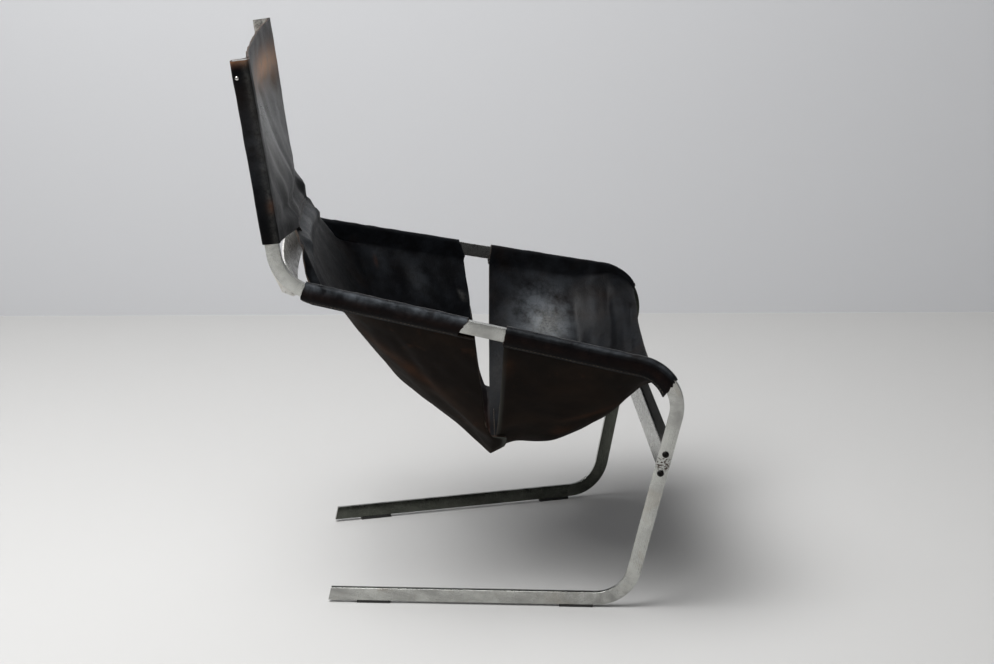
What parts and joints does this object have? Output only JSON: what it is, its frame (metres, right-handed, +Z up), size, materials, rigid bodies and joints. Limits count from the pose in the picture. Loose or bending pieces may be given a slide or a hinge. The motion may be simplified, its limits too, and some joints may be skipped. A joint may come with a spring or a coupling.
{
  "type": "sling lounge chair",
  "caption": "Low lounge chair with a black leather sling seat and back stretched over bent flat steel side frames, joined by cross braces.",
  "frame": {"origin": "on the floor, under the middle of the chair's bounding box", "axes": "+Z up, +X towards the front of the seat, +Y towards the sitter's left"},
  "size_m": [0.6971, 0.6978, 0.9339],
  "materials": {
    "steel": "brushed",
    "leather": "worn",
    "bolts": "black oxide",
    "screws": "bright",
    "glides": "matt"
  },
  "bodies": {
    "root": {"side_frame_left": "steel", "side_frame_right": "steel", "front_cross_brace": "steel", "rear_cross_brace": "steel", "back_panel": "leather", "seat_rear_panel": "leather", "seat_front_panel": "leather", "brace_bolt_upper_left": "bolts", "brace_bolt_upper_right": "bolts", "brace_bolt_lower_left": "bolts", "brace_bolt_lower_right": "bolts", "brace_nut_upper_left": "bolts", "brace_nut_upper_right": "bolts", "brace_nut_lower_left": "bolts", "brace_nut_lower_right": "bolts", "sleeve_screw_left": "screws", "sleeve_screw_right": "screws", "glide_front_left": "glides", "glide_front_right": "glides", "glide_rear_left": "glides", "glide_rear_right": "glides"}
  },
  "joints": []
}
